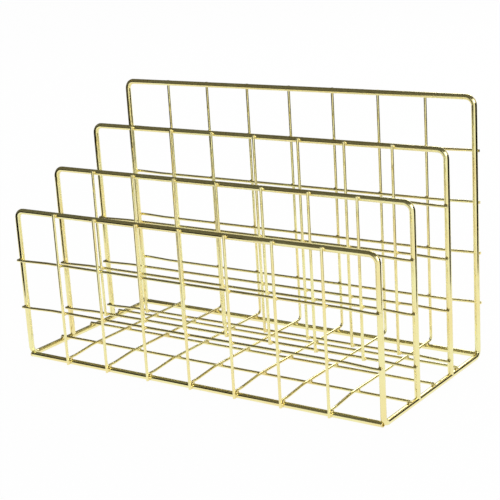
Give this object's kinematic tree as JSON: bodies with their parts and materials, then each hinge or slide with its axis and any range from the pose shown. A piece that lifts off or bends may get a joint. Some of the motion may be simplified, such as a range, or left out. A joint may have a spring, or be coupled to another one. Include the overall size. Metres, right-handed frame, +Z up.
{
  "type": "wire document rack",
  "caption": "Stepped desk rack of welded gold wire: upright mesh panels rise in height from front to back and hold papers in the slots between them.",
  "frame": {"origin": "on the surface that the rack stands on, under the middle of its box", "axes": "+X along the rack's width, to the right seen from the low front; +Y from the low front panel to the tall back panel; +Z up"},
  "size_m": [0.2432, 0.1156, 0.1505],
  "materials": {
    "frame_wire": "bright pale gold plating on steel wire",
    "mesh_wire": "bright pale gold plating on thin steel wire"
  },
  "bodies": {
    "root": {"outer_frame": "frame_wire", "second_panel_frame": "frame_wire", "third_panel_frame": "frame_wire", "front_base_rail": "frame_wire", "back_base_rail": "frame_wire", "front_cross_wire_1": "mesh_wire", "front_cross_wire_2": "mesh_wire", "second_cross_wire_1": "mesh_wire", "second_cross_wire_2": "mesh_wire", "second_cross_wire_3": "mesh_wire", "third_cross_wire_1": "mesh_wire", "third_cross_wire_2": "mesh_wire", "third_cross_wire_3": "mesh_wire", "third_cross_wire_4": "mesh_wire", "back_cross_wire_1": "mesh_wire", "back_cross_wire_2": "mesh_wire", "back_cross_wire_3": "mesh_wire", "back_cross_wire_4": "mesh_wire", "base_cross_wire_1": "mesh_wire", "base_cross_wire_2": "mesh_wire", "base_cross_wire_3": "mesh_wire", "front_upright_wire_1": "mesh_wire", "front_upright_wire_2": "mesh_wire", "front_upright_wire_3": "mesh_wire", "front_upright_wire_4": "mesh_wire", "front_upright_wire_5": "mesh_wire", "front_upright_wire_6": "mesh_wire", "front_upright_wire_7": "mesh_wire", "second_upright_wire_1": "mesh_wire", "second_upright_wire_2": "mesh_wire", "second_upright_wire_3": "mesh_wire", "second_upright_wire_4": "mesh_wire", "second_upright_wire_5": "mesh_wire", "second_upright_wire_6": "mesh_wire", "second_upright_wire_7": "mesh_wire", "third_upright_wire_1": "mesh_wire", "third_upright_wire_2": "mesh_wire", "third_upright_wire_3": "mesh_wire", "third_upright_wire_4": "mesh_wire", "third_upright_wire_5": "mesh_wire", "third_upright_wire_6": "mesh_wire", "third_upright_wire_7": "mesh_wire", "base_and_back_wire_1": "mesh_wire", "base_and_back_wire_2": "mesh_wire", "base_and_back_wire_3": "mesh_wire", "base_and_back_wire_4": "mesh_wire", "base_and_back_wire_5": "mesh_wire", "base_and_back_wire_6": "mesh_wire", "base_and_back_wire_7": "mesh_wire"}
  },
  "joints": []
}
